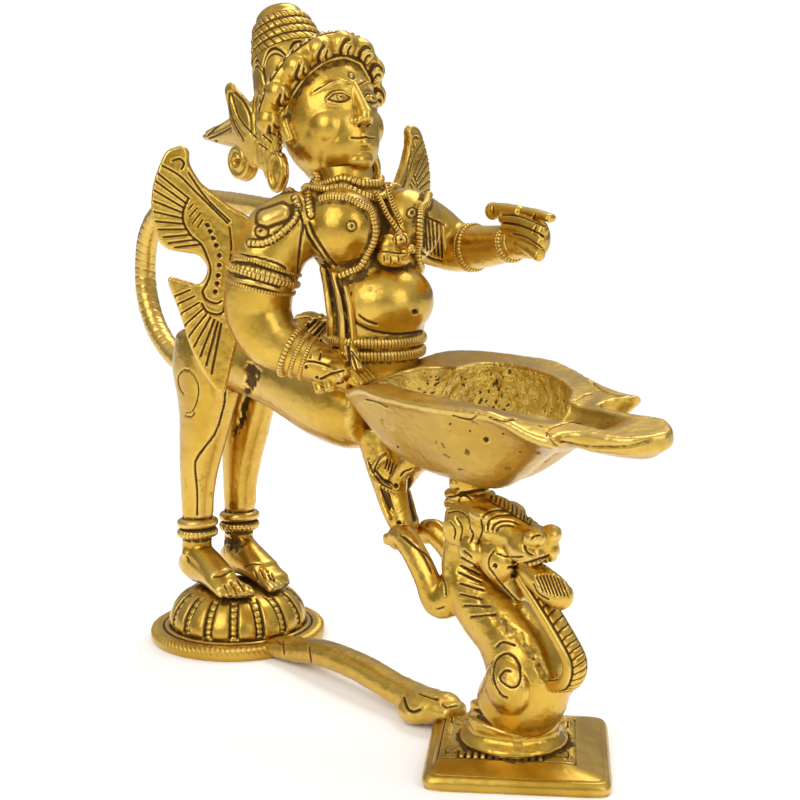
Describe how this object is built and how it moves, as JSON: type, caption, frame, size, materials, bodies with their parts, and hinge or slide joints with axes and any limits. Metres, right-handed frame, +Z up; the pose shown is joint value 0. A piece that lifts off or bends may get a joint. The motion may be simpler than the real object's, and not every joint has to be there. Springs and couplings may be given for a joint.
{
  "type": "figural oil lamp",
  "caption": "Standing winged garuda figure on a round lotus base, holding a leaf-shaped oil lamp bowl carried by a rearing lion-like beast on a square plinth, tied by a low bar.",
  "frame": {"origin": "on the standing surface, under the middle of the outline seen from above", "axes": "+Z up, +X forward to the spout of the bowl, +Y to the left side of the figure"},
  "size_m": [0.2042, 0.0762, 0.1687],
  "materials": {
    "figure_brass": "polished cast brass with dark patina left in the carving",
    "bowl_brass": "brushed outside and rim, rough as cast inside the well",
    "base_brass": "filed and brushed cast brass with dark patina in the grooves"
  },
  "bodies": {
    "root": {"base_disc": "base_brass", "lotus_dome": "base_brass", "plinth": "base_brass", "plinth_collar": "base_brass", "base_bar": "base_brass", "yali_body": "figure_brass", "yali_head": "figure_brass", "yali_tongue": "figure_brass", "yali_tail": "figure_brass", "yali_right_foreleg": "figure_brass", "yali_right_haunch": "figure_brass", "yali_right_ear": "figure_brass", "yali_left_foreleg": "figure_brass", "yali_left_haunch": "figure_brass", "yali_left_ear": "figure_brass", "lamp_bowl": "bowl_brass", "bowl_lug": "figure_brass", "carved_post": "figure_brass", "body_trunk": "figure_brass", "torso": "figure_brass", "neck": "figure_brass", "right_foot": "figure_brass", "right_leg": "figure_brass", "right_anklet": "figure_brass", "left_foot": "figure_brass", "left_leg": "figure_brass", "left_anklet": "figure_brass", "tail": "figure_brass", "right_arm": "figure_brass", "left_arm": "figure_brass", "right_hand": "figure_brass", "left_hand": "figure_brass", "right_armlet": "figure_brass", "right_bracelet": "figure_brass", "left_armlet": "figure_brass", "left_bracelet": "figure_brass", "right_wing": "figure_brass", "left_wing": "figure_brass", "head": "figure_brass", "diadem": "figure_brass", "topknot": "figure_brass", "back_plume": "figure_brass", "right_ear_ornament": "figure_brass", "right_hair_lock": "figure_brass", "right_side_curl": "figure_brass", "right_earring": "figure_brass", "left_ear_ornament": "figure_brass", "left_hair_lock": "figure_brass", "left_side_curl": "figure_brass", "left_earring": "figure_brass", "waist_belt": "figure_brass", "necklace": "figure_brass", "right_breast_cord": "figure_brass", "left_breast_cord": "figure_brass", "pendant": "figure_brass", "sash": "figure_brass", "right_hip_frill": "figure_brass", "left_hip_frill": "figure_brass"}
  },
  "joints": []
}
